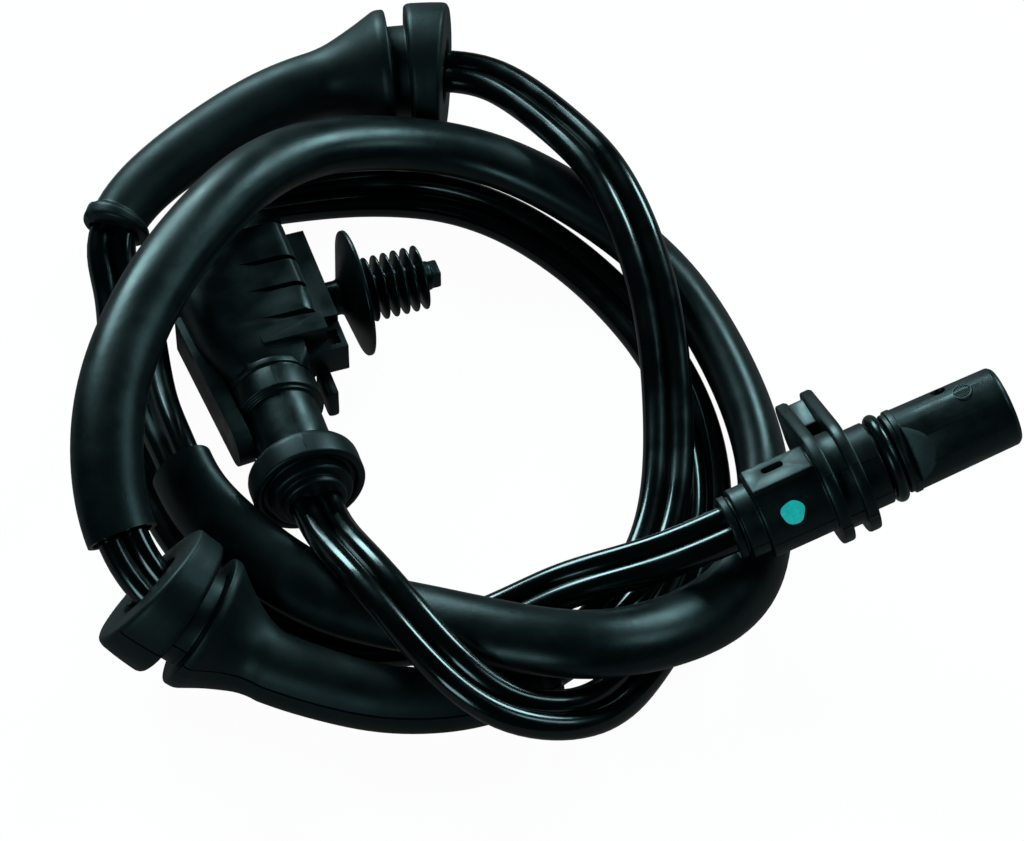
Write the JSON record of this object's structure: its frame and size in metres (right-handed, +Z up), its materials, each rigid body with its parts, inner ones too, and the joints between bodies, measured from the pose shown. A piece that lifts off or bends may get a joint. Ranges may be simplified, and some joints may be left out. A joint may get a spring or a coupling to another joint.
{
  "type": "wheel speed sensor",
  "caption": "Vehicle wheel speed sensor: sensing head with a two-flange ear and O-ring, coiled twin cable, rubber grommets, protective sleeve and a plug with a fir-tree clip.",
  "frame": {"origin": "centre of the flat sensing face at the tip of the head", "axes": "+X is the level direction in which the head points as the part lies, +Z is up"},
  "size_m": [0.1261, 0.1289, 0.0292],
  "materials": {
    "head_plastic": "satin black moulded plastic",
    "plug_plastic": "satin black moulded plastic",
    "clip_plastic": "satin black moulded plastic",
    "seal_rubber": "smooth black rubber",
    "cable_jacket": "glossy black jacket",
    "sleeve_rubber": "matte black rubber",
    "grommet_rubber": "matte black rubber",
    "brass": "plain",
    "copper": "bare copper",
    "magnet": "plain",
    "chip": "plain"
  },
  "bodies": {
    "root": {"sensor_housing": "head_plastic", "sensor_o_ring": "seal_rubber", "element_carrier": "head_plastic", "bias_magnet": "magnet", "hall_chip": "chip", "lead_strip_1": "copper", "lead_strip_2": "copper", "head_conductor_1": "copper", "head_conductor_2": "copper", "twin_cable": "cable_jacket", "protective_sleeve": "sleeve_rubber", "upper_grommet": "grommet_rubber", "lower_grommet": "grommet_rubber", "plug_housing": "plug_plastic", "plug_boot": "seal_rubber", "contact_carrier": "plug_plastic", "contact_lock": "plug_plastic", "front_seal": "seal_rubber", "contact_1": "brass", "contact_2": "brass", "wire_seal_1": "seal_rubber", "wire_seal_2": "seal_rubber", "plug_conductor_1": "copper", "plug_conductor_2": "copper", "fir_tree_clip": "clip_plastic"}
  },
  "joints": []
}
